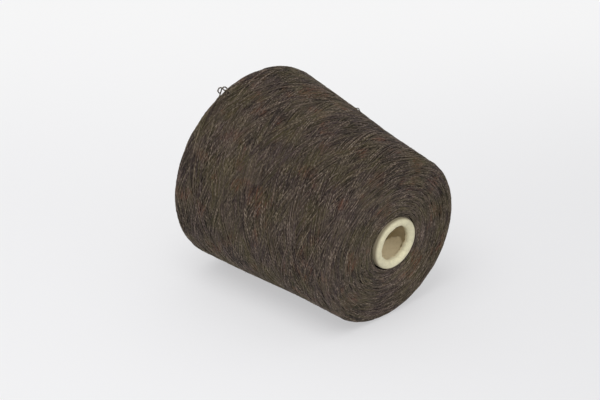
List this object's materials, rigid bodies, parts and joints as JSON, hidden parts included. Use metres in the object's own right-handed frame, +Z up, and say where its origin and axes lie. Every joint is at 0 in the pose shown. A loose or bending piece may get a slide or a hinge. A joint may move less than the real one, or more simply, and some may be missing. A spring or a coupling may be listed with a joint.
{
  "type": "cone of yarn",
  "caption": "Cross-wound cone of dark heather wool blend yarn on a rolled-nose paper cone, lying on its tapered side with a curly loose end.",
  "frame": {"origin": "on the surface the package lies on, under the middle of its box", "axes": "+X the level direction in which the small end points, +Z up; the cone's own axis leans 5.14 degrees down towards the small end"},
  "size_m": [0.1738, 0.1514, 0.1496],
  "materials": {
    "yarn": "dark brown heather wool blend yarn, matt, with olive, rust and grey fibres",
    "paper": "cream wound paper, matt, slightly fuzzy where it is rolled in"
  },
  "bodies": {
    "root": {"yarn_package": "yarn", "paper_cone": "paper", "loose_end": "yarn"}
  },
  "joints": []
}
